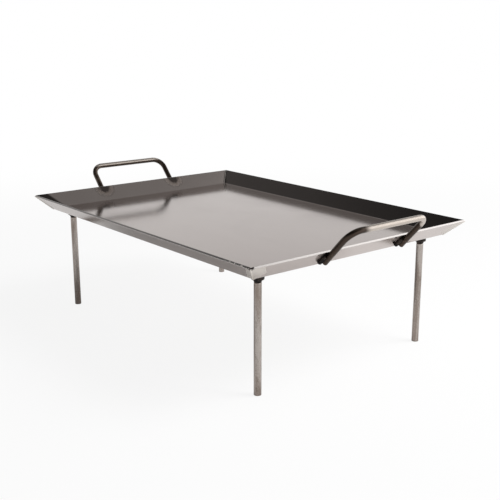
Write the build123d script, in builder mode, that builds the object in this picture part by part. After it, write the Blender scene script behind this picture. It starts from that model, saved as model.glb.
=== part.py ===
from build123d import *
from math import cos, radians, sin, sqrt, tan
import os

# Camp griddle plate: a shallow steel pan with flared walls and two bar handles, on four screw-in legs.
# Millimetres, +X along the length, +Y to the back, +Z up.
# The origin is on the ground under the middle of the pan.

# Pan: one sheet folded up on four sides
rim_length = 610.0
rim_width = 432.0
sheet = 3.2
wall_height = 23.0
wall_slope = 44.0
bend_inside = 3.0

# Corner seams, where the folded walls meet
mitre_gap = 2.0
seam_reach_end = 20.0
seam_reach_side = 9.0
seam_proud = 0.6

# Handles: round bar bent to a loop, leaning on the rim and welded outside the end walls
bar_diameter = 9.0
handle_span = 155.0
handle_lean = 47.0
handle_bend = 20.0
grip_rise = 34.0
foot_drop = 17.5
rim_touch = 0.1

# Fillet beads, one on each side of every handle foot
bead_radius = 4.0
bead_end_slope = 45.0
bead_side = 1.0
bead_off_wall = 2.0
bead_top = 2.0
bead_foot = 9.0

# Weld nuts under the pan, one for each leg
leg_inset_x = 22.5
leg_inset_y = 26.5
flange_diameter = 18.0
flange_thickness = 2.4
neck_diameter = 12.4
neck_height = 4.0

# Legs: round bar, each on a threaded stud
leg_diameter = 11.0
leg_length = 170.0
leg_chamfer = 1.0
foot_chamfer = 0.5
stud_diameter = 8.0
stud_in_leg = 12.0
thread_clearance = 0.05
seat_gap = 0.3
stud_tip_gap = 0.4

# Heights and plan sizes that follow from these
slope = radians(wall_slope)
lean = radians(handle_lean)
nut_height = flange_thickness + neck_height
neck_bottom = leg_length + seat_gap
base_z = neck_bottom + nut_height
flare = wall_height / tan(slope)
rim_in = sheet * sin(slope)
rim_up = sheet * cos(slope)
base_length = rim_length - 2 * flare
base_width = rim_width - 2 * flare
rim_z = base_z + wall_height
rim_top = rim_z + rim_up
leg_x = base_length / 2 - leg_inset_x
leg_y = base_width / 2 - leg_inset_y

os.makedirs("parts", exist_ok=True)


def save(piece, name):
    """Labels a finished piece and writes it to its own file."""
    piece.part.label = name
    export_step(piece.part, f"parts/{name}.step")


def pan_section(rim, plane):
    """The outside of the folded sheet in one upright plane, closed across the rim."""
    half = rim / 2
    base = half - flare
    with BuildSketch(plane) as section:
        with BuildLine():
            Polyline(
                (-base, base_z),
                (base, base_z),
                (half, rim_z),
                (half - rim_in, rim_top),
                (rim_in - half, rim_top),
                (-half, rim_z),
                close=True,
            )
        make_face()
        fillet(section.vertices().group_by(Axis.Y)[0], radius=bend_inside + sheet)
    return section.sketch


def cavity_section(rim, plane):
    """The inside of the folded sheet in the same plane, carried on above the rim."""
    half = rim / 2 - rim_in
    base = rim / 2 - flare - sheet * tan(slope / 2)
    with BuildSketch(plane) as section:
        with BuildLine():
            Polyline(
                (-base, base_z + sheet),
                (base, base_z + sheet),
                (half, rim_top),
                (half, rim_top + wall_height),
                (-half, rim_top + wall_height),
                (-half, rim_top),
                close=True,
            )
        make_face()
        fillet(section.vertices().group_by(Axis.Y)[0], radius=bend_inside)
    return section.sketch


# Cavity of the pan, where its lengthwise and crosswise sections run through each other
with BuildPart() as cavity:
    extrude(cavity_section(rim_length, Plane.XZ), amount=rim_width, both=True)
    extrude(cavity_section(rim_width, Plane.YZ), amount=rim_length, both=True, mode=Mode.INTERSECT)

# Folded shape with its corners still whole
with BuildPart() as blank:
    extrude(pan_section(rim_length, Plane.XZ), amount=rim_width, both=True)
    extrude(pan_section(rim_width, Plane.YZ), amount=rim_length, both=True, mode=Mode.INTERSECT)
    add(cavity.part, mode=Mode.SUBTRACT)

# Narrow gap between two neighbouring walls, on the diagonal of the back right corner
inner_corner = (base_length / 2 - sheet * tan(slope / 2), base_width / 2 - sheet * tan(slope / 2))
gap_length = (rim_length / 2 - inner_corner[0]) * sqrt(2) + sheet
mitre_plane = Plane(origin=(inner_corner[0], inner_corner[1], base_z), x_dir=(1, 1, 0), z_dir=(0, 0, 1))
with BuildPart() as mitre:
    with BuildSketch(mitre_plane.offset(-sheet)):
        Rectangle(gap_length, mitre_gap, align=(Align.MIN, Align.CENTER))
    extrude(amount=wall_height + 3 * sheet)

# Weld metal that fills that gap
with BuildPart() as filling:
    add(blank.part)
    add(mitre.part, mode=Mode.INTERSECT)


def in_corner(piece, side_x, side_y):
    """A copy of a piece made at +X +Y, mirrored into another corner."""
    if side_x < 0:
        piece = mirror(piece, about=Plane.YZ, mode=Mode.PRIVATE)
    if side_y < 0:
        piece = mirror(piece, about=Plane.XZ, mode=Mode.PRIVATE)
    return piece


corners = {
    "front_left": (-1, -1),
    "front_right": (1, -1),
    "back_left": (-1, 1),
    "back_right": (1, 1),
}

# Pan, with the gap of each mitred corner open for its seam
with BuildPart() as pan:
    add(blank.part)
    for side_x, side_y in corners.values():
        add(in_corner(mitre.part, side_x, side_y), mode=Mode.SUBTRACT)
save(pan, "pan")

# Seam of a corner: the filled gap, and weld metal ground to a low ridge over the outer edge,
# with a facet that runs out on each wall
edge_start = Vector(base_length / 2, base_width / 2, base_z)
edge_end = Vector(rim_length / 2, rim_width / 2, rim_z)
edge_run = edge_end - edge_start
end_wall_up = Vector(cos(slope), 0, sin(slope))
side_wall_up = Vector(0, cos(slope), sin(slope))
end_wall_out = Vector(sin(slope), 0, -cos(slope))
side_wall_out = Vector(0, sin(slope), -cos(slope))
ridge_plane = Plane(origin=edge_start, x_dir=(-1, 1, 0), z_dir=edge_run)
along_end_wall = end_wall_out.cross(edge_run).normalized() * seam_reach_end
along_side_wall = edge_run.cross(side_wall_out).normalized() * seam_reach_side
on_end_wall = ridge_plane.to_local_coords(edge_start + along_end_wall)
on_side_wall = ridge_plane.to_local_coords(edge_start + along_side_wall)
with BuildPart() as seam:
    with BuildSketch(ridge_plane):
        with BuildLine():
            Polyline(
                (on_end_wall.X, on_end_wall.Y),
                (0, -seam_proud),
                (on_side_wall.X, on_side_wall.Y),
                close=True,
            )
        make_face()
    extrude(amount=edge_run.length + sheet)
    split(bisect_by=Plane.XY.offset(base_z), keep=Keep.TOP)
    split(bisect_by=Plane(origin=edge_end, z_dir=end_wall_up), keep=Keep.BOTTOM)
    split(bisect_by=Plane(origin=edge_end, z_dir=side_wall_up), keep=Keep.BOTTOM)
    add(blank.part, mode=Mode.SUBTRACT)
    add(cavity.part, mode=Mode.SUBTRACT)
    add(filling.part)

for corner, (side_x, side_y) in corners.items():
    with BuildPart() as corner_seam:
        add(in_corner(seam.part, side_x, side_y))
    save(corner_seam, f"corner_seam_{corner}")

# Right handle: its legs touch the outer edge of the rim, and stand off the wall lower down
bar_radius = bar_diameter / 2
touch = bar_radius + rim_touch
foot_z = rim_z - foot_drop
axis_at_rim = rim_length / 2 + touch / sin(lean)
foot_x = axis_at_rim - foot_drop / tan(lean)
leg_run = (foot_drop + grip_rise) / sin(lean)
loop_plane = Plane(origin=(foot_x, 0, foot_z), x_dir=(0, 1, 0), z_dir=(sin(lean), 0, -cos(lean)))
with BuildPart() as handle:
    with BuildLine(loop_plane) as loop:
        FilletPolyline(
            (-handle_span / 2, 0),
            (-handle_span / 2, leg_run),
            (handle_span / 2, leg_run),
            (handle_span / 2, 0),
            radius=handle_bend,
        )
    with BuildSketch(Plane(origin=loop.line @ 0, z_dir=loop.line % 0)):
        Circle(bar_radius)
    sweep(path=loop.line)

for side, side_x in (("left", -1), ("right", 1)):
    with BuildPart() as bent_bar:
        add(in_corner(handle.part, side_x, 1))
    save(bent_bar, f"handle_{side}")


def foot_bead(side):
    """A fillet bead beside the right handle's back foot, on its inner (-1) or outer (+1) side."""
    beside_bar = handle_span / 2 + side * (bar_radius + bead_side)
    wall_run = wall_height / sin(slope)
    rim_edge = Vector(rim_length / 2, beside_bar, rim_z)
    bead_start = rim_edge - end_wall_up * (wall_run - bead_foot)
    bead_end = rim_edge - end_wall_up * bead_top
    end_slope = radians(bead_end_slope)
    start_face = end_wall_out * cos(end_slope) - end_wall_up * sin(end_slope)
    end_face = end_wall_out * cos(end_slope) + end_wall_up * sin(end_slope)
    with BuildPart() as bead:
        with BuildSketch(Plane(origin=bead_start + end_wall_out * bead_off_wall, z_dir=end_wall_up)):
            Circle(bead_radius)
        extrude(amount=(bead_end - bead_start).length)
        split(bisect_by=Plane(origin=bead_start, z_dir=end_wall_out), keep=Keep.TOP)
        split(bisect_by=Plane(origin=bead_start, z_dir=start_face), keep=Keep.BOTTOM)
        split(bisect_by=Plane(origin=bead_end, z_dir=end_face), keep=Keep.BOTTOM)
        add(handle.part, mode=Mode.SUBTRACT)
    return bead.part


for side, side_x in (("left", -1), ("right", 1)):
    for end, side_y in (("front", -1), ("back", 1)):
        for face, beside in (("inner", -1), ("outer", 1)):
            with BuildPart() as handle_weld:
                add(in_corner(foot_bead(beside), side_x, side_y))
            save(handle_weld, f"handle_weld_{side}_{end}_{face}")

for corner, (side_x, side_y) in corners.items():
    leg_spot = Vector(side_x * leg_x, side_y * leg_y, 0)

    # Weld nut: a thin round flange against the pan, and a neck that the leg seats on
    with BuildPart() as weld_nut:
        with BuildSketch(Plane(origin=leg_spot + Vector(0, 0, neck_bottom))):
            Circle(neck_diameter / 2)
        extrude(amount=nut_height)
        with BuildSketch(Plane(origin=leg_spot + Vector(0, 0, base_z - flange_thickness))):
            Circle(flange_diameter / 2)
        extrude(amount=flange_thickness)
        with Locations(leg_spot + Vector(0, 0, base_z)):
            Hole(stud_diameter / 2 + thread_clearance)
    save(weld_nut, f"weld_nut_{corner}")

    # Stud: it fills the leg's blind hole and the nut, and stops just short of the pan
    stud_bottom = leg_length - stud_in_leg
    stud_run = base_z - stud_tip_gap - stud_bottom
    with BuildPart() as stud:
        with BuildSketch(Plane(origin=leg_spot + Vector(0, 0, stud_bottom))):
            Circle(stud_diameter / 2)
        extrude(amount=stud_run)
    save(stud, f"stud_{corner}")

    # Leg: round bar, eased at both ends, with a blind hole for the stud
    with BuildPart() as leg:
        with BuildSketch(Plane(origin=leg_spot)):
            Circle(leg_diameter / 2)
        extrude(amount=leg_length)
        chamfer(leg.edges().sort_by(Axis.Z)[-1], length=leg_chamfer)
        chamfer(leg.edges().sort_by(Axis.Z)[0], length=foot_chamfer)
        with Locations(leg_spot + Vector(0, 0, leg_length)):
            Hole(stud_diameter / 2 + thread_clearance, depth=stud_in_leg + seat_gap)
    save(leg, f"leg_{corner}")
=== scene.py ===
# %% [markdown]
# # A camp griddle plate in bare steel
#
# The object is a shallow steel pan on four screw-in legs, with a bent bar handle at each end.
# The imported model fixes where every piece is. This script gives each piece the finish of the real one:
# rolled sheet, ground welds, heat-blackened bar and worn edges.
#
# A few helpers come first. They add a primitive in edit mode with nothing else selected, pick faces
# or vertices by their place, and hand a finished piece to the body that carries it.

# %% Load the frame
from math import cos, pi, radians, sin, sqrt, tan

import bmesh
import bpy
from mathutils import Matrix, Vector


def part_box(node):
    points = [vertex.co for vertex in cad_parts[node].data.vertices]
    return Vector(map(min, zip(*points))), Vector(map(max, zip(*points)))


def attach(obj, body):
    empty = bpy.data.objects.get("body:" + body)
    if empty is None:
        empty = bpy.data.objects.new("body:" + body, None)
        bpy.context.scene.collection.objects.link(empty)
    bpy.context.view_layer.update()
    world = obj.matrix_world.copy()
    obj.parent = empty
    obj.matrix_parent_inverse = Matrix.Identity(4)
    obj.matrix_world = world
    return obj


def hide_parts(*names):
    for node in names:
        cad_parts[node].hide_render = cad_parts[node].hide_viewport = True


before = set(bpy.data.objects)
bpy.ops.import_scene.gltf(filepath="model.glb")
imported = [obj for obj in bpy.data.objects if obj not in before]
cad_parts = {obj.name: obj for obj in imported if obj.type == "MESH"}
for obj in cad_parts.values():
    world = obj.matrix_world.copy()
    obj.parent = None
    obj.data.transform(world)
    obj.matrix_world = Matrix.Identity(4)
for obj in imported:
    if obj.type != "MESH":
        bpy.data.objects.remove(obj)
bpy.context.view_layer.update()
bpy.ops.object.select_all(action="DESELECT")
MM = 0.001

# %% Helpers for modelling in edit mode


def begin(name, add, **settings):
    """Adds a primitive by itself, keeps its object at the origin and leaves it in edit mode, all selected."""
    bpy.ops.object.select_all(action="DESELECT")
    add(**settings)
    piece = bpy.context.object
    piece.name = name
    bpy.ops.object.transform_apply(location=True, rotation=True, scale=True)
    bpy.ops.object.mode_set(mode="EDIT")
    bpy.ops.mesh.select_all(action="SELECT")
    return piece


def pick(piece, wanted, kind="verts"):
    """Selects the vertices, edges or faces of a piece whose middle passes a test, and counts them."""
    bpy.ops.mesh.select_mode(type={"verts": "VERT", "edges": "EDGE", "faces": "FACE"}[kind])
    bpy.ops.mesh.select_all(action="DESELECT")
    shape = bmesh.from_edit_mesh(piece.data)
    count = 0
    for part in getattr(shape, kind):
        if kind == "verts":
            middle = part.co
        elif kind == "edges":
            middle = (part.verts[0].co + part.verts[1].co) / 2
        else:
            middle = part.calc_center_median()
        if wanted(middle):
            part.select_set(True)
            count += 1
    bmesh.update_edit_mesh(piece.data)
    return count


def modify(piece, kind, **settings):
    """Adds a modifier with these settings and applies it."""
    modifier = piece.modifiers.new(kind.title(), kind)
    for name, value in settings.items():
        setattr(modifier, name, value)
    bpy.context.view_layer.objects.active = piece
    bpy.ops.object.modifier_apply(modifier=modifier.name)


def settle(piece, smooth_angle=35):
    """Leaves edit mode, puts the piece's place into its mesh and shades its gentle bends smooth."""
    if piece.mode == "EDIT":
        bpy.ops.object.mode_set(mode="OBJECT")
    bpy.ops.object.select_all(action="DESELECT")
    piece.select_set(True)
    bpy.context.view_layer.objects.active = piece
    bpy.ops.object.transform_apply(location=True, rotation=True, scale=True)
    bpy.ops.object.shade_smooth_by_angle(angle=radians(smooth_angle))


def twin(piece, name, mirror_x=False, mirror_y=False, shift=None):
    """A copy with its own mesh, mirrored through the middle of the object or shifted."""
    bpy.ops.object.select_all(action="DESELECT")
    piece.select_set(True)
    bpy.context.view_layer.objects.active = piece
    bpy.ops.object.duplicate()
    copy = bpy.context.object
    copy.name = name
    if mirror_x or mirror_y:
        copy.scale = (-1 if mirror_x else 1, -1 if mirror_y else 1, 1)
        bpy.ops.object.transform_apply(location=True, rotation=True, scale=True)
        if mirror_x != mirror_y:
            bpy.ops.object.mode_set(mode="EDIT")
            bpy.ops.mesh.select_all(action="SELECT")
            bpy.ops.mesh.flip_normals()
            bpy.ops.object.mode_set(mode="OBJECT")
    if shift is not None:
        copy.location = shift
        bpy.ops.object.transform_apply(location=True, rotation=True, scale=True)
    return copy


def hand_over(piece, body, slot, material, *nodes):
    """Gives a finished piece its material and its body, and hides the nodes that it stands for. The slot is not used.
    """
    piece.data.materials.clear()
    piece.data.materials.append(material)
    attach(piece, body)
    if nodes:
        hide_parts(*nodes)
    print(piece.name, "rides on", body, "with", len(piece.data.polygons), "faces")


# %% [markdown]
# ## Shader node groups
#
# Steel looks real when its gloss is broken up: rolling marks, smudges, heat colours and scale.
# Each of these is a node group with named inputs and outputs, built once. The groups put out masks and
# values. The Principled shader stays in each material.

# %% Helpers for node trees


class Nodes:
    """Adds nodes to a tree, and takes values or other nodes' outputs as their inputs."""

    def __init__(self, tree):
        self.tree = tree

    def add(self, kind, inputs=None, **settings):
        node = self.tree.nodes.new(kind)
        for name, value in settings.items():
            setattr(node, name, value)
        for name, value in (inputs or {}).items():
            socket = node.inputs[name]
            if isinstance(value, bpy.types.NodeSocket):
                self.tree.links.new(value, socket)
            else:
                socket.default_value = value
        return node

    def math(self, operation, *values, clamp=False):
        node = self.add("ShaderNodeMath", dict(enumerate(values)), operation=operation, use_clamp=clamp)
        return node.outputs[0]

    def mix(self, factor, first, second):
        node = self.add("ShaderNodeMix", data_type="RGBA")
        for place, value in ((0, factor), (6, first), (7, second)):
            if isinstance(value, bpy.types.NodeSocket):
                self.tree.links.new(value, node.inputs[place])
            else:
                node.inputs[place].default_value = value
        return node.outputs[2]

    def blend(self, factor, first, second):
        """A number between two others."""
        inputs = {"Value": factor, "To Min": first, "To Max": second}
        return self.add("ShaderNodeMapRange", inputs).outputs[0]

    def ramp(self, value, start, end, low=0.0, high=1.0):
        """A smooth step: low where the value is under start, high where it is over end."""
        inputs = {"Value": value, "From Min": start, "From Max": end, "To Min": low, "To Max": high}
        return self.add("ShaderNodeMapRange", inputs, interpolation_type="SMOOTHSTEP").outputs[0]

    def noise(self, place, scale, detail=4.0, roughness=0.5, stretch=(1, 1, 1), distortion=0.0):
        """Noise over a place, stretched by a scale along each axis."""
        scaled = self.add("ShaderNodeVectorMath", {0: place, 1: stretch}, operation="MULTIPLY")
        inputs = {"Vector": scaled.outputs[0], "Scale": scale, "Detail": detail,
                  "Roughness": roughness, "Distortion": distortion}
        return self.add("ShaderNodeTexNoise", inputs).outputs["Fac"]

    def distance(self, place, point):
        return self.add("ShaderNodeVectorMath", {0: place, 1: point}, operation="DISTANCE").outputs["Value"]


def new_group(name, inputs, outputs):
    """A shader node group with its sockets, as (tree, nodes, the inputs by name, the output node)."""
    tree = bpy.data.node_groups.new(name, "ShaderNodeTree")
    for label, kind, value in inputs:
        socket = tree.interface.new_socket(name=label, in_out="INPUT", socket_type=f"NodeSocket{kind}")
        if value is not None:
            socket.default_value = value
    for label, kind in outputs:
        tree.interface.new_socket(name=label, in_out="OUTPUT", socket_type=f"NodeSocket{kind}")
    nodes = Nodes(tree)
    entry = nodes.add("NodeGroupInput")
    exit_node = nodes.add("NodeGroupOutput")
    return tree, nodes, entry.outputs, exit_node


def colour(red, green, blue):
    """A colour written as it looks on screen, 0 to 255, turned into the linear value a shader needs."""
    parts = []
    for value in (red, green, blue):
        share = value / 255
        parts.append(share / 12.92 if share <= 0.04045 else ((share + 0.055) / 1.055) ** 2.4)
    return (*parts, 1.0)


# %% [markdown]
# Rolling marks run along the sheet: very long thin streaks, with broader soft bands under them.
# They change the gloss a little and lift the surface by a hair.

# %% Rolling marks
rolling_marks, n, given, out = new_group(
    "Rolling Marks",
    [("Place", "Vector", None), ("Along", "Vector", (1.0, 40.0, 40.0)), ("Fine Scale", "Float", 60.0)],
    [("Streaks", "Float"), ("Bands", "Float")],
)
streaks = n.noise(given["Place"], given["Fine Scale"], 6.0, 0.65, given["Along"])
bands = n.noise(given["Place"], 3.0, 3.0, 0.5, (1, 3, 3))
n.tree.links.new(streaks, out.inputs["Streaks"])
n.tree.links.new(bands, out.inputs["Bands"])
print("group:", rolling_marks.name)

# %% [markdown]
# Heat draws colours on bare steel round a weld: black scale at the weld, then a brown tint that fades out.
# The group takes the place of one weld and the reach of its heat.

# %% Heat tint round a weld
heat_tint, n, given, out = new_group(
    "Heat Tint",
    [("Place", "Vector", None), ("Weld", "Vector", (0, 0, 0)), ("Reach", "Float", 0.02), ("Break-up", "Float", 0.5)],
    [("Tint", "Float"), ("Scale", "Float")],
)
away = n.distance(given["Place"], given["Weld"])
ragged = n.noise(given["Place"], 180.0, 4.0, 0.6)
ragged = n.math("MULTIPLY", n.math("SUBTRACT", ragged, 0.5), given["Break-up"])
share = n.math("ADD", n.math("DIVIDE", away, given["Reach"]), ragged)
n.tree.links.new(n.ramp(share, 1.0, 0.55), out.inputs["Tint"])
n.tree.links.new(n.ramp(share, 0.6, 0.35), out.inputs["Scale"])
print("group:", heat_tint.name)

# %% [markdown]
# Hot-rolled bar keeps patches of dark scale, with barer metal between them where it was handled.

# %% Mill scale
mill_scale, n, given, out = new_group(
    "Mill Scale",
    [("Place", "Vector", None), ("Patch Size", "Float", 40.0), ("Cover", "Float", 0.5), ("Along", "Vector", (1, 1, 1))],
    [("Scale", "Float"), ("Grain", "Float")],
)
patches = n.noise(given["Place"], given["Patch Size"], 8.0, 0.62, given["Along"], 0.4)
grain = n.noise(given["Place"], 900.0, 3.0, 0.6)
mixed = n.math("ADD", patches, n.math("MULTIPLY", n.math("SUBTRACT", grain, 0.5), 0.35))
edge = n.math("SUBTRACT", 1.0, given["Cover"])
low_edge = n.math("SUBTRACT", edge, 0.09)
high_edge = n.math("ADD", edge, 0.09)
n.tree.links.new(n.ramp(mixed, low_edge, high_edge), out.inputs["Scale"])
n.tree.links.new(grain, out.inputs["Grain"])
print("group:", mill_scale.name)

# %% [markdown]
# Handling leaves smudges: broad, faint patches where the gloss is a little duller or darker.

# %% Smudges
smudges, n, given, out = new_group(
    "Smudges",
    [("Place", "Vector", None), ("Size", "Float", 8.0)],
    [("Mask", "Float")],
)
broad = n.noise(given["Place"], given["Size"], 5.0, 0.55, (1, 1, 1), 0.8)
n.tree.links.new(n.ramp(broad, 0.42, 0.68), out.inputs["Mask"])
print("group:", smudges.name)


def new_material(name):
    """A material with its Principled shader, as (material, nodes, shader, place on the object)."""
    material = bpy.data.materials.new(name)
    material.use_nodes = True
    material.node_tree.nodes.clear()
    nodes = Nodes(material.node_tree)
    shader = nodes.add("ShaderNodeBsdfPrincipled")
    end = nodes.add("ShaderNodeOutputMaterial")
    material.node_tree.links.new(shader.outputs[0], end.inputs["Surface"])
    place = nodes.add("ShaderNodeTexCoord").outputs["Object"]
    return material, nodes, shader, place


def use_group(nodes, tree, **inputs):
    """Places a group in a material. Underscores in the names stand for spaces."""
    node = nodes.add("ShaderNodeGroup", node_tree=tree)
    for label, value in inputs.items():
        socket = node.inputs[label.replace("_", " ")]
        if isinstance(value, bpy.types.NodeSocket):
            nodes.tree.links.new(value, socket)
        else:
            socket.default_value = value
    return node.outputs


def wire(nodes, shader, **outputs):
    """Links outputs to the shader's inputs. Underscores in the names stand for spaces."""
    for label, socket in outputs.items():
        nodes.tree.links.new(socket, shader.inputs[label.replace("_", " ")])


def bumped(nodes, height, distance, strength=1.0):
    return nodes.add(
        "ShaderNodeBump", {"Height": height, "Distance": distance, "Strength": strength}
    ).outputs[0]


# %% [markdown]
# ## Sizes read from the frame
#
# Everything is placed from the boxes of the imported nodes. The sheet, its slope and its bends are the
# only sizes that a box can't tell, so they are named here.

# %% Sizes
sheet = 3.2 * MM
wall_slope = radians(44)
bend_inside = 3.0 * MM
pan_low, pan_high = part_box("pan")
base_z = pan_low.z
rim_top = pan_high.z
rim_half = Vector((pan_high.x, pan_high.y, 0))
rim_inner = rim_half - Vector((1, 1, 0)) * sheet * sin(wall_slope)
floor_z = base_z + sheet
wall_rise = rim_top - floor_z
flat_inset = wall_rise / tan(wall_slope) + bend_inside * tan(wall_slope / 2)
flat_half = rim_inner - Vector((1, 1, 0)) * flat_inset
rim_z = rim_top - sheet * cos(wall_slope)
base_half = rim_half - Vector((1, 1, 0)) * (rim_z - base_z) / tan(wall_slope)
print("flat of the pan:", [round(2000 * v) for v in flat_half.xy], "mm, cooking surface at", round(floor_z / MM, 1))

# %% [markdown]
# ## The pan
#
# The real pan is one sheet, folded up on four sides. It starts here as the four edges of the cooking
# surface. The loop is extruded outwards step by step round the bend and up the wall, over the cut rim,
# and back down the outside to the underside. Each step is moved and scaled, so the corners stay on
# their mitre lines and the sheet keeps its thickness. A small bevel eases the rim, which catches light.

# %% Fold the pan
hold = 0.4 * MM
bend_steps = 8
bend_outside = bend_inside + sheet


def bend_arc(radius):
    """Points round a bend from the flat to the wall, as (offset outwards, height)."""
    angles = [wall_slope * step / bend_steps for step in range(bend_steps + 1)]
    return [(radius * sin(angle), bend_inside - radius * cos(angle)) for angle in angles]


def up_the_wall(point, length):
    return (point[0] + length * cos(wall_slope), point[1] + length * sin(wall_slope))


inside = bend_arc(bend_inside)
outside = bend_arc(bend_outside)
rim_inside = (flat_inset, wall_rise)
rim_outside = (flat_inset + sheet * sin(wall_slope), wall_rise - sheet * cos(wall_slope))
profile = [(-hold, 0.0), *inside, up_the_wall(inside[-1], hold), rim_inside]
profile += [rim_outside, up_the_wall(outside[-1], hold), *reversed(outside), (-hold, -sheet)]

start = flat_half - Vector((1, 1, 0)) * hold
pan = begin("griddle_pan", bpy.ops.mesh.primitive_plane_add, size=2)
bpy.ops.transform.resize(value=(start.x, start.y, 1))
bpy.ops.transform.translate(value=(0, 0, floor_z))
bpy.ops.mesh.select_mode(type="EDGE")
for (offset, height), (next_offset, next_height) in zip(profile, profile[1:]):
    bpy.ops.mesh.extrude_edges_move(TRANSFORM_OT_translate={"value": (0, 0, next_height - height)})
    now = flat_half + Vector((1, 1, 0)) * offset
    then = flat_half + Vector((1, 1, 0)) * next_offset
    bpy.ops.transform.resize(value=(then.x / now.x, then.y / now.y, 1), center_override=(0, 0, 0))
bpy.ops.mesh.edge_face_add()
bpy.ops.mesh.select_all(action="SELECT")
bpy.ops.mesh.normals_make_consistent(inside=False)
settle(pan)
modify(pan, "BEVEL", width=0.35 * MM, segments=2, limit_method="ANGLE", angle_limit=radians(70))
print("rim of the pan at", [round(max(v.co[axis] for v in pan.data.vertices) / MM, 2) for axis in range(3)])

# %% [markdown]
# The front right corner has a small pit at the top of its mitre, where the weld didn't fill the gap.
# A stretched icosphere is taken away from the pan there with a Boolean modifier.

# %% Pit in the front corner
pit_middle = Vector((rim_inner.x, -rim_inner.y, rim_top)) - Vector((1.2, -1.2, 0.6)) * MM


def pitted(piece):
    """Takes the pit away from a piece of the front right corner."""
    pit = begin("pit", bpy.ops.mesh.primitive_ico_sphere_add, subdivisions=3, radius=1, location=(0, 0, 0))
    bpy.ops.transform.resize(value=(1.6 * MM, 3.4 * MM, 1.7 * MM))
    bpy.ops.transform.translate(value=pit_middle)
    settle(pit)
    modify(piece, "BOOLEAN", operation="DIFFERENCE", object=pit, solver="EXACT")
    bpy.data.objects.remove(pit)


pitted(pan)
settle(pan)

# %% [markdown]
# ## Corner seams
#
# Each corner is welded along its mitre and ground back, which leaves a low ridge with two flat facets.
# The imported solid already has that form, so a copy of it is merged and its ridge is eased with a bevel.

# %% Ease the ground ridges
CORNERS = {"front_left": (-1, -1), "front_right": (1, -1), "back_left": (-1, 1), "back_right": (1, 1)}


def merged_copy(node, name):
    """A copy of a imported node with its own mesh, its loose triangles merged."""
    bpy.ops.object.select_all(action="DESELECT")
    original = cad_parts[node]
    original.select_set(True)
    bpy.context.view_layer.objects.active = original
    bpy.ops.object.duplicate()
    copy = bpy.context.object
    copy.name = name
    for key in list(copy.keys()):
        del copy[key]
    copy.parent = None
    bpy.ops.object.mode_set(mode="EDIT")
    bpy.ops.mesh.select_all(action="SELECT")
    bpy.ops.mesh.remove_doubles(threshold=0.002 * MM)
    bpy.ops.mesh.dissolve_limited(angle_limit=radians(0.5))
    bpy.ops.object.mode_set(mode="OBJECT")
    return copy


seams = {}
for corner in CORNERS:
    seam = merged_copy(f"corner_seam_{corner}", f"ground_seam_{corner}")
    modify(seam, "BEVEL", width=0.8 * MM, segments=3, limit_method="ANGLE", angle_limit=radians(45))
    if corner == "front_right":
        pitted(seam)
    settle(seam, 25)
    seams[corner] = seam
print("seams:", [len(seam.data.polygons) for seam in seams.values()], "faces")

# %% [markdown]
# ## Handles
#
# A handle is a round bar with two tight bends. A ring of edges is extruded along the first leg, spun
# through a quarter turn, carried along the grip, spun again and brought down to the other foot, just
# as the bar is bent over a former. Its saw-cut feet get a small bevel.

# %% Bend a bar
right_low, right_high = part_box("handle_right")
bar_radius = 4.5 * MM
lean = radians(47)
bend_radius = 20 * MM
grip = Vector((right_high.x - bar_radius, 0, right_high.z - bar_radius))
leg_up = Vector((cos(lean), 0, sin(lean)))
foot_height = right_low.z + bar_radius * cos(lean)
leg_run = (grip.z - foot_height) / sin(lean)
span_half = right_high.y - bar_radius
foot = grip - leg_up * leg_run + Vector((0, span_half, 0))
straight = leg_run - bend_radius
turn_axis = leg_up.cross(Vector((0, -1, 0)))
quarter_steps = 18

handle_right = begin(
    "bent_bar_right", bpy.ops.mesh.primitive_circle_add, vertices=40, radius=bar_radius,
    location=foot, rotation=(0, pi / 2 - lean, 0),
)


def extrude_by(step, parts=1):
    """Carries the selected ring of edges along a step, in equal parts."""
    for part in range(parts):
        bpy.ops.mesh.extrude_edges_move(TRANSFORM_OT_translate={"value": step / parts})


def spin_quarter(centre):
    bpy.ops.mesh.spin(steps=quarter_steps, angle=-pi / 2, center=centre, axis=turn_axis)


bpy.ops.mesh.select_mode(type="EDGE")
extrude_by(leg_up * straight, 4)
spin_quarter(foot + leg_up * straight + Vector((0, -bend_radius, 0)))
extrude_by(Vector((0, -2 * (span_half - bend_radius), 0)), 12)
spin_quarter(foot + leg_up * straight + Vector((0, bend_radius - 2 * span_half, 0)))
extrude_by(-leg_up * straight, 4)
print("bar ends", [round(v / MM, 1) for v in max((v.co for v in handle_right.data.vertices), key=lambda c: c.y)])

# %% Close the bar's ends and copy it
bpy.ops.mesh.select_all(action="SELECT")
bpy.ops.mesh.remove_doubles(threshold=0.001 * MM)
bpy.ops.mesh.fill_holes(sides=0)
bpy.ops.mesh.normals_make_consistent(inside=False)
settle(handle_right, 50)
modify(handle_right, "BEVEL", width=0.5 * MM, segments=2, limit_method="ANGLE", angle_limit=radians(60))
settle(handle_right, 50)
handle_left = twin(handle_right, "bent_bar_left", mirror_x=True)
handles = {"right": handle_right, "left": handle_left}
print("handles:", [len(piece.data.polygons) for piece in handles.values()], "faces")

# %% [markdown]
# ## Welds at the handles' feet
#
# Each foot has a bead of weld on both sides. A hand-laid bead is a row of overlapping puddles, so a ring
# is extruded down the wall in short steps that swell and shrink, and the whole bead is made a little
# uneven. It is then cut off at the wall, where it has melted in, and cut out round the bar.

# %% Lay a weld bead
bead_radius = 3.5 * MM
bead_pitch = 1.6 * MM
bead_side = bar_radius + 0.2 * MM
bead_off_wall = 2.0 * MM
wall_up = Vector((cos(wall_slope), 0, sin(wall_slope)))
wall_out = Vector((sin(wall_slope), 0, -cos(wall_slope)))
wall_point = Vector((rim_half.x, 0, rim_z))
bead_low, bead_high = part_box("handle_weld_right_front_inner")
bead_run = (bead_high.z - bead_low.z) / sin(wall_slope) - 4.0 * MM


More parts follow.
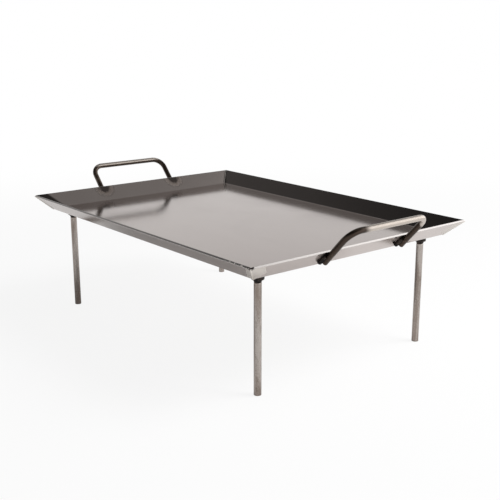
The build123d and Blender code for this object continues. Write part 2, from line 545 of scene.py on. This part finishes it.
def lay_bead(name, across, seed):
    """A rippled bead on the right end wall, beside a bar at this place across the pan."""
    top = wall_point + wall_out * bead_off_wall + Vector((0, across, 0))
    top -= wall_up * (wall_point.z - bead_high.z + 3.2 * MM) / sin(wall_slope)
    bead = begin(
        name, bpy.ops.mesh.primitive_circle_add, vertices=28, radius=bead_radius * 0.35, fill_type="NGON",
        location=top, rotation=(0, pi / 2 - wall_slope, 0),
    )
    ripples = int(bead_run / bead_pitch)
    size = 0.35
    spot = top
    shares = [0.72, 0.9]
    for ripple in range(ripples):
        shares += [1.0, 0.965, 0.9]
    shares += [0.8, 0.62, 0.3]
    step = bead_run / len(shares)
    for share in shares:
        bpy.ops.mesh.extrude_region_move(TRANSFORM_OT_translate={"value": -wall_up * step})
        spot = spot - wall_up * step
        scale = share / size
        bpy.ops.transform.resize(value=(scale, scale, scale), center_override=spot)
        size = share
    bpy.ops.mesh.select_all(action="SELECT")
    bpy.ops.transform.vertex_random(offset=0.22 * MM, uniform=0.4, normal=0.6, seed=seed)
    bpy.ops.mesh.bisect(
        plane_co=wall_point - wall_out * 0.2 * MM, plane_no=wall_out, use_fill=True, clear_inner=True
    )
    bpy.ops.mesh.select_all(action="SELECT")
    bpy.ops.mesh.normals_make_consistent(inside=False)
    settle(bead, 60)
    return bead


beads = {}
for row, side in enumerate((-1, 1)):
    end = "front" if side < 0 else "back"
    for column, (where, outwards) in enumerate((("inner", -1), ("outer", 1))):
        across = side * (span_half + outwards * bead_side)
        bead = lay_bead(f"weld_bead_right_{end}_{where}", across, 3 + 2 * row + column)
        modify(bead, "BOOLEAN", operation="DIFFERENCE", object=handle_right, solver="EXACT")
        settle(bead, 60)
        beads["right", end, where] = bead
        beads["left", end, where] = twin(bead, f"weld_bead_left_{end}_{where}", mirror_x=True)
print("beads:", sum(len(piece.data.polygons) for piece in beads.values()), "faces")

# %% [markdown]
# ## Weld nuts
#
# A weld nut is a wide collar against the pan, over a short neck that narrows to the leg. One ring of edges
# follows its outline from the pan's underside down to the neck's end and up through the bore. The packed
# nut is shorter than the real one, so the collar and the neck are made at their real heights here, and
# the leg below starts where the neck ends.

# %% Turn a weld nut
nut_low, nut_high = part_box("weld_nut_front_right")
nut_middle = (nut_low + nut_high) / 2
nut_axis = Vector((nut_middle.x, nut_middle.y, 0))
flange_radius = (nut_high.x - nut_low.x) / 2
neck_radius = 6.2 * MM
neck_end_radius = 5.6 * MM
bore_radius = 4.05 * MM
collar_height = 9.5 * MM
neck_height = 3.3 * MM
seat_gap = 0.3 * MM


def turned(name, outline, axis, vertices=48):
    """A round piece from its outline, a list of (radius, height). Ends at the outline's ends."""
    radius, height = outline[0]
    piece = begin(
        name, bpy.ops.mesh.primitive_circle_add, vertices=vertices, radius=radius,
        location=axis + Vector((0, 0, height)),
    )
    bpy.ops.mesh.select_mode(type="EDGE")
    for (radius, height), (next_radius, next_height) in zip(outline, outline[1:]):
        bpy.ops.mesh.extrude_edges_move(TRANSFORM_OT_translate={"value": (0, 0, next_height - height)})
        scale = next_radius / radius
        centre = axis + Vector((0, 0, next_height))
        bpy.ops.transform.resize(value=(scale, scale, 1), center_override=centre)
    bpy.ops.mesh.select_all(action="SELECT")
    bpy.ops.mesh.remove_doubles(threshold=0.001 * MM)
    return piece


top = nut_high.z - 0.02 * MM
collar_foot = nut_high.z - collar_height
neck_foot = collar_foot - neck_height
nut_outline = [
    (bore_radius, top), (flange_radius, top), (flange_radius, top - 3.0 * MM),
    (flange_radius, collar_foot + 0.7 * MM), (flange_radius - 0.5 * MM, collar_foot + 0.1 * MM),
    (neck_radius + 0.6 * MM, collar_foot), (neck_radius, collar_foot - 0.5 * MM),
    (neck_end_radius, neck_foot + 0.4 * MM), (neck_end_radius - 0.4 * MM, neck_foot),
    (bore_radius + 0.5 * MM, neck_foot), (bore_radius, neck_foot + 0.5 * MM), (bore_radius, top),
]
nut = turned("leg_nut_front_right", nut_outline, nut_axis)
pick(nut, lambda point: point.z < top - 2 * MM and (point.xy - nut_axis.xy).length > flange_radius - MM)
bpy.ops.transform.vertex_random(offset=0.2 * MM, uniform=0.3, normal=0.7, seed=4)
bpy.ops.mesh.select_all(action="SELECT")
bpy.ops.mesh.normals_make_consistent(inside=False)
settle(nut, 40)
print("nut:", len(nut.data.polygons), "faces")

# %% [markdown]
# ## Threaded studs
#
# The stud's thread shows when a leg is screwed down. One turn of its outline is an open line of four
# edges, and the Screw modifier winds it up the axis. A bisect cuts both ends square and closes them.

# %% Wind the thread
stud_low, stud_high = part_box("stud_front_right")
thread_pitch = 1.25 * MM
thread_depth = 0.65 * MM
stud_radius = (stud_high.x - stud_low.x) / 2
stud_length = stud_high.z - stud_low.z

stud = begin("threaded_stud_front_right", bpy.ops.mesh.primitive_plane_add, size=1)
bpy.ops.transform.resize(value=(thread_depth, thread_pitch * 0.8, 1))
bpy.ops.transform.rotate(value=-pi / 2, orient_axis="X", center_override=(0, 0, 0))
bpy.ops.transform.translate(value=(stud_radius - thread_depth / 2, 0, thread_pitch * 0.4))
root = stud_radius - thread_depth
pick(stud, lambda point: abs(point.x - root) < 0.01 * MM, "edges")
bpy.ops.mesh.delete(type="EDGE")
pick(stud, lambda point: point.x > root + 0.1 * MM)
bpy.ops.transform.resize(value=(1, 1, 0.16), center_override=(0, 0, thread_pitch * 0.4))
pick(stud, lambda point: point.x < root + 0.1 * MM and point.z > thread_pitch * 0.5)
bpy.ops.mesh.extrude_vertices_move(TRANSFORM_OT_translate={"value": (0, 0, thread_pitch * 0.2)})
bpy.ops.object.mode_set(mode="OBJECT")
turns = int(stud_length / thread_pitch) + 3
modify(
    stud, "SCREW", axis="Z", screw_offset=thread_pitch, iterations=turns, steps=32, render_steps=32,
    use_merge_vertices=True, merge_threshold=0.002 * MM,
)
bpy.ops.object.select_all(action="DESELECT")
stud.select_set(True)
bpy.ops.object.mode_set(mode="EDIT")
bpy.ops.mesh.select_all(action="SELECT")
bpy.ops.mesh.remove_doubles(threshold=0.002 * MM)
bpy.ops.mesh.fill_holes(sides=0)
for height, direction in ((1.2 * thread_pitch, -1), (1.2 * thread_pitch + stud_length, 1)):
    bpy.ops.mesh.select_all(action="SELECT")
    bpy.ops.mesh.bisect(
        plane_co=(0, 0, height), plane_no=(0, 0, direction), use_fill=True, clear_outer=True
    )
bpy.ops.mesh.select_all(action="SELECT")
bpy.ops.mesh.normals_make_consistent(inside=False)
bpy.ops.transform.translate(value=nut_axis + Vector((0, 0, stud_low.z - 1.2 * thread_pitch)))
settle(stud, 30)
print("stud:", len(stud.data.polygons), "faces, top", [round(v / MM, 1) for v in stud.bound_box[6]])

# %% [markdown]
# ## Legs
#
# A leg is a length of round bar with its ends cut square, the edges broken with a file, and a hole in
# the top for the stud. Its outline is turned from the bottom of the hole, over the top and down to the foot.

# %% Turn a leg
leg_low, leg_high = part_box("leg_front_right")
leg_radius = (leg_high.x - leg_low.x) / 2
leg_top = neck_foot - seat_gap
hole_bottom = stud_low.z - 0.6 * MM
shoulder = [leg_low.z + (leg_top - leg_low.z) * share for share in (0.98, 0.75, 0.5, 0.25, 0.02)]
leg_outline = [
    (0.2 * MM, hole_bottom - 1.5 * MM), (bore_radius, hole_bottom), (bore_radius, leg_top - 0.4 * MM),
    (bore_radius + 0.4 * MM, leg_top), (leg_radius - 1.0 * MM, leg_top),
    (leg_radius - 0.35 * MM, leg_top - 0.3 * MM),
    (leg_radius, leg_top - 1.0 * MM), *[(leg_radius, height) for height in shoulder],
    (leg_radius, leg_low.z + 0.5 * MM), (leg_radius - 0.15 * MM, leg_low.z + 0.15 * MM),
    (leg_radius - 0.5 * MM, leg_low.z), (leg_radius * 0.5, leg_low.z), (0.2 * MM, leg_low.z),
]
leg = turned("bar_leg_front_right", leg_outline, nut_axis)
bpy.ops.mesh.fill_holes(sides=0)
bpy.ops.mesh.normals_make_consistent(inside=False)
settle(leg, 40)
print("leg:", len(leg.data.polygons), "faces")

# %% Copy nut, stud and leg to the other corners
legs, nuts, studs = {}, {}, {}
for corner, (x_side, y_side) in CORNERS.items():
    shift = Vector((x_side * nut_axis.x - nut_axis.x, y_side * abs(nut_axis.y) - nut_axis.y, 0))
    for source, copies, label in ((nut, nuts, "leg_nut"), (stud, studs, "threaded_stud"), (leg, legs, "bar_leg")):
        copies[corner] = source if shift.length < MM else twin(source, f"{label}_{corner}", shift=shift)
print("corners:", list(legs))

# %% [markdown]
# ## Finishes
#
# The cooking plate is bare rolled steel, so most of what shows is reflection. Its colour hardly changes,
# but its gloss does, along the rolling marks and in smudges. Each handle foot has burnt the wall round it.
# Cut edges are rougher and catch light from more directions. Their lighter colour is bare cut metal and
# partly a painted highlight.

# %% Cut edge group
cut_edge, n, given, out = new_group(
    "Cut Edge",
    [("Place", "Vector", None), ("Edge", "Vector", (0, 0, 0)), ("Width", "Float", 0.0005)],
    [("Mask", "Float")],
)
parts = n.add("ShaderNodeSeparateXYZ", {0: given["Place"]}).outputs
edge_parts = n.add("ShaderNodeSeparateXYZ", {0: given["Edge"]}).outputs
rise = n.math("MULTIPLY", n.math("SUBTRACT", parts["Z"], edge_parts["Z"]), sin(wall_slope))
reaches = []
for axis in ("X", "Y"):
    beyond = n.math("SUBTRACT", n.math("ABSOLUTE", parts[axis]), edge_parts[axis])
    reaches.append(n.math("ADD", n.math("MULTIPLY", beyond, cos(wall_slope)), rise))
reach = n.math("MAXIMUM", *reaches)
start = n.math("MULTIPLY", given["Width"], -1.0)
n.tree.links.new(n.ramp(reach, start, n.math("MULTIPLY", start, 0.3)), out.inputs["Mask"])
print("group:", cut_edge.name)

# %% [markdown]
# Each corner's inside is darkened along the crease: painted shade, widest in the front left corner. A group
# works out how deep a point lies in the folded sheet, 0 on the outside, and how far it is from the mitre
# between two walls. The first tells the inner face from the outer one, and the second places the painted
# shade in the crease and the painted highlight on the ground ridge.

# %% Sheet depth group
sheet_depth, n, given, out = new_group(
    "Sheet Depth",
    [("Place", "Vector", None), ("Edge", "Vector", (0, 0, 0))],
    [("Depth", "Float"), ("From Mitre", "Float")],
)
parts = n.add("ShaderNodeSeparateXYZ", {0: given["Place"]}).outputs
edge_parts = n.add("ShaderNodeSeparateXYZ", {0: given["Edge"]}).outputs
drop = n.math("MULTIPLY", n.math("SUBTRACT", parts["Z"], edge_parts["Z"]), cos(wall_slope))
depths = []
for axis in ("X", "Y"):
    beyond = n.math("SUBTRACT", n.math("ABSOLUTE", parts[axis]), edge_parts[axis])
    depths.append(n.math("SUBTRACT", n.math("MULTIPLY", beyond, sin(wall_slope)), drop))
n.tree.links.new(n.math("MAXIMUM", *depths), out.inputs["Depth"])
n.tree.links.new(n.math("ABSOLUTE", n.math("SUBTRACT", *depths)), out.inputs["From Mitre"])
print("group:", sheet_depth.name)

# %% Bare steel for the pan
steel, n, shader, place = new_material("rolled_steel")
marks = use_group(n, rolling_marks, Place=place)
smudge = use_group(n, smudges, Place=place, Size=7.0)["Mask"]
folded = n.add("ShaderNodeVectorMath", {0: place}, operation="ABSOLUTE").outputs[0]
foot_burn = use_group(n, heat_tint, Place=folded, Weld=(rim_half.x - 0.003, span_half, rim_z - 0.002), Reach=0.024)
nut_burn = use_group(n, heat_tint, Place=folded, Weld=(nut_axis.x, -nut_axis.y, base_z - 0.001), Reach=0.016)
edge_mask = use_group(n, cut_edge, Place=place, Edge=(rim_half.x, rim_half.y, rim_z), Width=0.0007)["Mask"]
in_sheet = use_group(n, sheet_depth, Place=place, Edge=(rim_half.x, rim_half.y, rim_z))
parts = n.add("ShaderNodeSeparateXYZ", {0: place}).outputs
inner_face = n.ramp(in_sheet["Depth"], -0.7 * sheet, -0.9 * sheet)
on_wall = n.ramp(parts["Z"], floor_z + 0.5 * MM, floor_z + 3.0 * MM)
# Painted shade: the inside of each corner is darkened along the crease, over a wide patch in the front left corner.
front_left = n.math("MULTIPLY", n.ramp(parts["X"], -0.24, -0.26), n.ramp(parts["Y"], -0.15, -0.17))
crease_shade_reach = n.blend(front_left, 2.2 * MM, 17.0 * MM)
crease_shade = n.ramp(n.math("DIVIDE", in_sheet["From Mitre"], crease_shade_reach), 1.0, 0.75)
crease_shade = n.math("MULTIPLY", crease_shade, n.math("MULTIPLY", inner_face, on_wall))
tone = n.mix(marks["Bands"], colour(180, 169, 164), colour(193, 183, 178))
tone = n.mix(n.math("MULTIPLY", smudge, 0.12), tone, colour(172, 163, 158))
tone = n.mix(n.math("MULTIPLY", foot_burn["Tint"], 0.6), tone, colour(112, 99, 90))
tone = n.mix(n.math("MULTIPLY", foot_burn["Scale"], 0.85), tone, colour(52, 46, 43))
underside = n.ramp(parts["Z"], base_z + 1.5 * MM, base_z + 0.5 * MM)
under_tint = n.math("MULTIPLY", n.math("MULTIPLY", nut_burn["Tint"], underside), 0.6)
tone = n.mix(under_tint, tone, colour(110, 98, 110))
# Cut edges painted lighter: bare cut metal, and partly a painted highlight.
tone = n.mix(edge_mask, tone, colour(205, 200, 197))
# Painted shade in the inner creases.
tone = n.mix(n.math("MULTIPLY", crease_shade, 0.9), tone, colour(40, 35, 33))
# Painted shade: the pit and a small patch round it are painted near black.
pit_shade = use_group(n, heat_tint, Place=place, Weld=pit_middle, Reach=0.0085)
tone = n.mix(pit_shade["Scale"], tone, colour(34, 29, 27))
near_pit = n.ramp(n.distance(place, pit_middle), 0.06, 0.02)
worn = n.ramp(n.noise(place, 160.0, 2.0), 0.48, 0.56)
on_front_rim = n.ramp(parts["Y"], -rim_inner.y, -rim_half.y + 1.0 * MM)
worn = n.math("MULTIPLY", n.math("MULTIPLY", worn, near_pit), n.math("MULTIPLY", edge_mask, on_front_rim))
tone = n.mix(worn, tone, colour(240, 233, 226))
rough = n.blend(marks["Streaks"], 0.09, 0.15)
rough = n.math("ADD", rough, n.math("MULTIPLY", smudge, 0.03))
rough = n.math("MAXIMUM", rough, n.math("MULTIPLY", foot_burn["Tint"], 0.5))
rough = n.blend(edge_mask, rough, 0.26)
rough = n.blend(worn, rough, 0.7)
wire(n, shader, Base_Color=tone, Roughness=rough, Metallic=n.blend(worn, 1.0, 0.25))
wire(n, shader, Normal=bumped(n, marks["Streaks"], 0.00001, 0.5))

# %% [markdown]
# The ground seams are the same steel with the strokes of the grinding disc across them, all one way.
# A light line along the ridge is a painted highlight.

# %% Ground steel for the seams
ground, n, shader, place = new_material("ground_steel")
strokes = n.noise(place, 400.0, 5.0, 0.7, (1, 1, 9))
patches = n.noise(place, 90.0, 4.0, 0.6)
tone = n.mix(strokes, colour(200, 192, 184), colour(232, 227, 222))
tone = n.mix(n.ramp(patches, 0.62, 0.8), tone, colour(150, 138, 128))
in_seam = use_group(n, sheet_depth, Place=place, Edge=(rim_half.x, rim_half.y, rim_z))
outer_face = n.ramp(in_seam["Depth"], -0.4 * MM, 0.0)
# Painted highlight: a light line along the ground ridge.
ridge_highlight = n.math("MULTIPLY", outer_face, n.ramp(in_seam["From Mitre"], 1.3 * MM, 0.5 * MM))
tone = n.mix(ridge_highlight, tone, colour(246, 240, 232))
# Painted shade: the pit and a small patch round it are painted near black.
pit_shade = use_group(n, heat_tint, Place=place, Weld=pit_middle, Reach=0.0085)
tone = n.mix(pit_shade["Scale"], tone, colour(34, 29, 27))
wire(n, shader, Base_Color=tone, Roughness=n.blend(strokes, 0.42, 0.58))
shader.inputs["Metallic"].default_value = 1.0
wire(n, shader, Normal=bumped(n, strokes, 0.00006, 0.6))

# %% [markdown]
# The handles are hot-rolled bar, brown-black with scale. The right one's grip has been handled bare, and
# the left one's top is painted lighter, a painted highlight.

# %% Scaled bar for the handles
bar_steel, n, shader, place = new_material("scaled_bar")
skin = use_group(n, mill_scale, Place=place, Patch_Size=55.0, Cover=0.62, Along=(1, 0.35, 1))
parts = n.add("ShaderNodeSeparateXYZ", {0: place}).outputs
on_grip = n.ramp(parts["Y"], -0.078, -0.035)
near_side = n.ramp(parts["X"], 0.326, 0.337)
# Painted highlight: the top of the left handle is painted lighter. The right grip's bare metal is wear.
left_top_highlight = n.math("MULTIPLY", n.ramp(parts["X"], -0.3, -0.32), n.ramp(parts["Z"], 0.2325, 0.2355))
wear_and_top_highlight = n.math("MAXIMUM", n.math("MULTIPLY", on_grip, near_side), left_top_highlight)
breakup = n.math("MULTIPLY", n.math("SUBTRACT", skin["Scale"], 0.5), 0.5)
wear_and_top_highlight = n.ramp(n.math("SUBTRACT", wear_and_top_highlight, breakup), 0.3, 0.75)
dark = n.mix(skin["Scale"], colour(122, 108, 96), colour(66, 56, 49))
bare = n.mix(skin["Grain"], colour(184, 173, 163), colour(206, 197, 188))
wire(n, shader, Base_Color=n.mix(wear_and_top_highlight, dark, bare), Metallic=n.blend(wear_and_top_highlight, 0.9, 1.0))
wire(n, shader, Roughness=n.blend(wear_and_top_highlight, 0.32, 0.34))
wire(n, shader, Normal=bumped(n, n.math("ADD", skin["Scale"], skin["Grain"]), 0.00008, 0.5))

# %% [markdown]
# Weld metal is left as it cooled: black scale, rough, with a brown cast here and there.

# %% Black weld metal
weld_metal, n, shader, place = new_material("weld_metal")
skin = use_group(n, mill_scale, Place=place, Patch_Size=160.0, Cover=0.5)
tone = n.mix(skin["Scale"], colour(58, 49, 43), colour(27, 25, 25))
wire(n, shader, Base_Color=tone, Roughness=n.blend(skin["Scale"], 0.42, 0.6))
shader.inputs["Metallic"].default_value = 0.7
wire(n, shader, Normal=bumped(n, n.math("ADD", skin["Scale"], skin["Grain"]), 0.00012, 0.6))

# %% [markdown]
# The legs are drawn bar: grey, with brown patches that run along it.

# %% Drawn bar for the legs
leg_steel, n, shader, place = new_material("drawn_bar")
skin = use_group(n, mill_scale, Place=place, Patch_Size=60.0, Cover=0.5, Along=(1, 1, 0.12))
fine = use_group(n, mill_scale, Place=place, Patch_Size=220.0, Cover=0.4, Along=(1, 1, 0.3))
tone = n.mix(skin["Scale"], colour(178, 170, 164), colour(140, 128, 120))
tone = n.mix(n.math("MULTIPLY", fine["Scale"], 0.4), tone, colour(104, 92, 82))
wire(n, shader, Base_Color=tone, Roughness=n.blend(fine["Scale"], 0.2, 0.32))
shader.inputs["Metallic"].default_value = 0.9
wire(n, shader, Normal=bumped(n, n.math("ADD", fine["Scale"], fine["Grain"]), 0.00004, 0.5))

# %% Bright steel for the studs
stud_steel, n, shader, place = new_material("thread_steel")
shades = n.noise(place, 500.0, 3.0)
wire(n, shader, Base_Color=n.mix(shades, colour(150, 148, 144), colour(188, 185, 180)))
wire(n, shader, Roughness=n.blend(shades, 0.28, 0.4))
shader.inputs["Metallic"].default_value = 1.0

# %% [markdown]
# ## Hand the pieces over
#
# Each piece is given its material and the body that carries it, and the imported nodes that it stands for
# are hidden. The welded pieces all ride on the pan's body. Each stud and each leg has a body of its own.

# %% Ride and replace
hand_over(pan, "griddle", "pan_steel", steel, "pan")
for corner in CORNERS:
    hand_over(seams[corner], "griddle", "ground_weld", ground, f"corner_seam_{corner}")
    hand_over(nuts[corner], "griddle", "nut_steel", weld_metal, f"weld_nut_{corner}")
    hand_over(studs[corner], f"stud_{corner}", "stud_steel", stud_steel, f"stud_{corner}")
    hand_over(legs[corner], f"leg_{corner}", "leg_bar", leg_steel, f"leg_{corner}")
for side, piece in handles.items():
    hand_over(piece, "griddle", "handle_bar", bar_steel, f"handle_{side}")
for (side, end, where), piece in beads.items():
    hand_over(piece, "griddle", "weld_bead", weld_metal, f"handle_weld_{side}_{end}_{where}")

# %% [markdown]
# ## Camera
#
# The camera's place, direction and lens were worked out from the straight edges of the pan.

# %% Camera
forward = Vector((-0.75002, 0.60996, -0.25575))
upward = Vector((-0.19802, 0.16185, 0.96674))
camera = bpy.data.objects.new("camera", bpy.data.cameras.new("camera"))
bpy.context.scene.collection.objects.link(camera)
camera.data.lens = 61.816
camera.data.sensor_width = 36
turn = Matrix((forward.cross(upward), upward, -forward)).transposed()
camera.matrix_world = Matrix.Translation((1.10616, -0.86830, 0.49884)) @ turn.to_4x4()
bpy.context.scene.camera = camera
print("camera", [round(v, 3) for v in camera.location])

# %% [markdown]
# ## Floor and light
#
# A mirror-like plate shows the room round it, so the room is drawn in the world shader. Low down it is
# bright at the back and on the right and dimmer towards the camera. High up it is dark on the left, as
# if black cloth hung there, and a little lighter at the back, with one small bright window that draws the
# white line on the right rim. The camera sees plain white instead.

# %% World
world = bpy.data.worlds.new("studio")
bpy.context.scene.world = world
world.use_nodes = True
world.node_tree.nodes.clear()
n = Nodes(world.node_tree)
rays = n.add("ShaderNodeLightPath").outputs
direction = n.add("ShaderNodeTexCoord").outputs["Generated"]


def facing(aim, start, end, low, high):
    """A number that goes from low to high as the direction turns towards an aim."""
    dot = n.add("ShaderNodeVectorMath", {0: direction, 1: Vector(aim).normalized()}, operation="DOT_PRODUCT")
    return n.ramp(dot.outputs["Value"], start, end, low, high)


height = n.add("ShaderNodeSeparateXYZ", {0: direction}).outputs["Z"]
back_wall = facing((-0.776, 0.631, 0), -0.2, 0.7, 0.0, 0.44)
right_wall = facing((0.631, 0.776, 0), 0.15, 0.9, 0.0, 1.3)
near_wall = facing((0.776, -0.631, 0), 0.0, 0.8, 0.45, 0.8)
near_room = n.math("ADD", near_wall, n.math("ADD", back_wall, right_wall))
right_ceiling = facing((0.3, 0.8, 0.5), 0.3, 1.0, 0.0, 0.27)
back_ceiling = facing((-0.776, 0.631, 0.5), 0.72, 0.97, 0.0, 0.2)
dark_ceiling = n.ramp(height, 0.6, 0.82, 0.075, 0.02)
overhead = n.ramp(height, 0.93, 0.99, 0.0, 0.5)
ceiling = n.math("ADD", n.math("ADD", dark_ceiling, overhead), n.math("ADD", right_ceiling, back_ceiling))
window = facing((0.35, 0.8, 0.55), 0.93, 0.985, 0.0, 1.4)
room = n.math("ADD", n.blend(n.ramp(height, 0.1, 0.62), near_room, ceiling), window)
straight = n.math("MAXIMUM", rays["Is Camera Ray"], rays["Is Transmission Ray"])
shown = n.math("MAXIMUM", room, straight)
background = n.add("ShaderNodeBackground", {"Color": (1, 1, 1, 1), "Strength": shown}).outputs[0]
end = n.add("ShaderNodeOutputWorld")
n.tree.links.new(background, end.inputs["Surface"])

# %% Floor
floor = begin("floor", bpy.ops.mesh.primitive_plane_add, size=30)
bpy.ops.object.mode_set(mode="OBJECT")
floor_paint = bpy.data.materials.new("floor_paint")
floor_paint.use_nodes = True
floor_paint.node_tree.nodes.clear()
n = Nodes(floor_paint.node_tree)
rays = n.add("ShaderNodeLightPath").outputs
from_middle = n.distance(n.add("ShaderNodeTexCoord").outputs["Object"], (0, 0, 0))
# Painted shadow: in the steel's reflections the floor glows least in a patch under the pan, so it shows darker there.
under_pan = n.distance(n.add("ShaderNodeTexCoord").outputs["Object"], (-0.16, -0.12, 0))
reflected_glow_painted_shade = n.math("ADD", n.ramp(under_pan, 0.16, 0.34, 0.1, 0.42), n.ramp(under_pan, 0.58, 0.74, 0.0, 0.48))
straight = n.math("MAXIMUM", rays["Is Camera Ray"], rays["Is Transmission Ray"])
seen = n.math("MAXIMUM", straight, n.math("MULTIPLY", rays["Is Glossy Ray"], reflected_glow_painted_shade))
share = n.math("MULTIPLY", seen, n.ramp(from_middle, 0.6, 1.8, 0.88, 1.0))
matt = n.add("ShaderNodeBsdfDiffuse", {"Color": colour(238, 238, 238)}).outputs[0]
glow = n.add("ShaderNodeEmission", {"Color": (1, 1, 1, 1), "Strength": 1.0}).outputs[0]
both = n.add("ShaderNodeMixShader", {0: share})
n.tree.links.new(matt, both.inputs[1])
n.tree.links.new(glow, both.inputs[2])
end = n.add("ShaderNodeOutputMaterial")
n.tree.links.new(both.outputs[0], end.inputs["Surface"])
floor.data.materials.append(floor_paint)

# %% Key lamp
key = bpy.data.objects.new("key", bpy.data.lights.new("key", "AREA"))
bpy.context.scene.collection.objects.link(key)
key.data.size = 1.0
key.data.energy = 38
key.location = (1.06, 0.93, 1.685)
key.rotation_euler = (-key.location).to_track_quat("-Z", "Y").to_euler()
key.visible_camera = False
key.visible_glossy = False

# %% Look
bpy.context.scene.view_settings.view_transform = "Standard"
